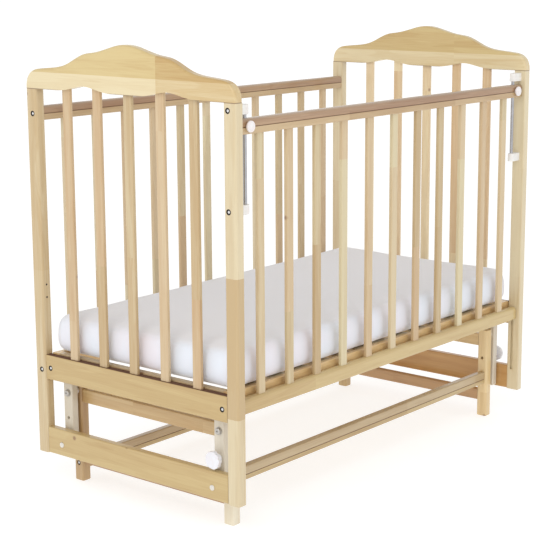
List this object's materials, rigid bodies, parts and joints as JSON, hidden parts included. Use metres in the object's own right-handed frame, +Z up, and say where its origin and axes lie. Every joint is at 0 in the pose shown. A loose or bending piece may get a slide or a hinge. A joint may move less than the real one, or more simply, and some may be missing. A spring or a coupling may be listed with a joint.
{
  "type": "baby cot with sideways pendulum swing",
  "caption": "Slatted birch baby cot with a drop side and mattress, hung on levers over a low base so that it swings sideways.",
  "frame": {"origin": "on the floor under the middle of the cot", "axes": "+X along the cot to its right end, -Y to the drop side, +Z up"},
  "size_m": [1.25, 0.672, 1.108],
  "materials": {
    "birch": "satin clear lacquer over birch",
    "pale_birch": "satin clear lacquer over a paler, greyer birch",
    "zinc_steel": "bright zinc plate",
    "white_plastic": "satin moulded white",
    "white_cover": "soft white cotton cover over foam"
  },
  "bodies": {
    "base": {"base_post_front_left": "birch", "base_post_back_left": "birch", "base_post_front_right": "birch", "base_post_back_right": "birch", "base_low_rail_left": "birch", "base_low_rail_right": "birch", "base_top_rail_left": "birch", "base_top_rail_right": "birch", "base_stretcher_front": "birch", "base_stretcher_back": "birch", "base_bolts": "zinc_steel", "upper_pivot_bolts": "zinc_steel", "upper_pivot_bushes": "white_plastic", "upper_pivot_washers": "zinc_steel"},
    "lever_front_left": {"lever_front_left": "pale_birch"},
    "lever_front_right": {"lever_front_right": "pale_birch"},
    "lever_back_left": {"lever_back_left": "pale_birch"},
    "lever_back_right": {"lever_back_right": "pale_birch"},
    "cot": {"post_front_left": "birch", "post_back_left": "birch", "crest_left": "birch", "slat_rail_left": "birch", "low_rail_left": "birch", "end_slats_left": "birch", "guide_rod_left": "zinc_steel", "rod_brackets_left": "white_plastic", "post_front_right": "birch", "post_back_right": "birch", "crest_right": "birch", "slat_rail_right": "birch", "low_rail_right": "birch", "end_slats_right": "birch", "guide_rod_right": "zinc_steel", "rod_brackets_right": "white_plastic", "crest_dowels": "birch", "frame_bolts": "zinc_steel", "back_top_rail": "birch", "back_low_rail": "birch", "back_slats": "birch", "deck_rail_front": "birch", "deck_rail_back": "birch", "deck_end_rails": "birch", "deck_slats": "birch", "mattress": "white_cover", "lower_pivot_bolts": "zinc_steel", "lower_pivot_bushes": "white_plastic", "lower_pivot_nuts": "zinc_steel"},
    "drop_side": {"drop_top_rail": "birch", "drop_low_rail": "birch", "drop_slats": "birch", "rod_sleeves": "white_plastic", "guide_pins": "white_plastic"},
    "button_left": {"catch_button_left": "white_plastic"},
    "button_right": {"catch_button_right": "white_plastic"},
    "knob_left": {"lock_knob_left": "white_plastic", "lock_stud_left": "zinc_steel"},
    "knob_right": {"lock_knob_right": "white_plastic", "lock_stud_right": "zinc_steel"}
  },
  "joints": [
    {"name": "swing", "type": "hinge", "parent": "base", "child": "lever_front_left", "pos_m": [-0.587, -0.252, 0.237], "axis": [1, 0, 0], "range_deg": [-12, 12]},
    {"name": "cot_level", "type": "hinge", "parent": "lever_front_left", "child": "cot", "pos_m": [-0.587, -0.252, 0.107], "axis": [1, 0, 0], "range_deg": [-12, 12]},
    {"name": "swing_front_right", "type": "hinge", "parent": "base", "child": "lever_front_right", "pos_m": [0.587, -0.252, 0.237], "axis": [1, 0, 0], "range_deg": [-12, 12]},
    {"name": "swing_back_left", "type": "hinge", "parent": "base", "child": "lever_back_left", "pos_m": [-0.587, 0.252, 0.237], "axis": [1, 0, 0], "range_deg": [-12, 12]},
    {"name": "swing_back_right", "type": "hinge", "parent": "base", "child": "lever_back_right", "pos_m": [0.587, 0.252, 0.237], "axis": [1, 0, 0], "range_deg": [-12, 12]},
    {"name": "side_drop", "type": "slide", "parent": "cot", "child": "drop_side", "axis": [0, 0, 1], "range_m": [-0.15, 0]},
    {"name": "press_button_left", "type": "slide", "parent": "drop_side", "child": "button_left", "axis": [0, 1, 0], "range_m": [0, 0.0035], "stiffness_N_per_m": 600},
    {"name": "press_button_right", "type": "slide", "parent": "drop_side", "child": "button_right", "axis": [0, 1, 0], "range_m": [0, 0.0035], "stiffness_N_per_m": 600},
    {"name": "turn_knob_left", "type": "hinge", "parent": "lever_front_left", "child": "knob_left", "pos_m": [-0.6, -0.252, 0.172], "axis": [1, 0, 0], "continuous": true},
    {"name": "turn_knob_right", "type": "hinge", "parent": "lever_front_right", "child": "knob_right", "pos_m": [0.6, -0.252, 0.172], "axis": [1, 0, 0], "continuous": true}
  ],
  "couplings": [
    {"joint": "cot_level", "follows": "swing", "ratio": -1},
    {"joint": "swing_front_right", "follows": "swing", "ratio": 1},
    {"joint": "swing_back_left", "follows": "swing", "ratio": 1},
    {"joint": "swing_back_right", "follows": "swing", "ratio": 1}
  ]
}
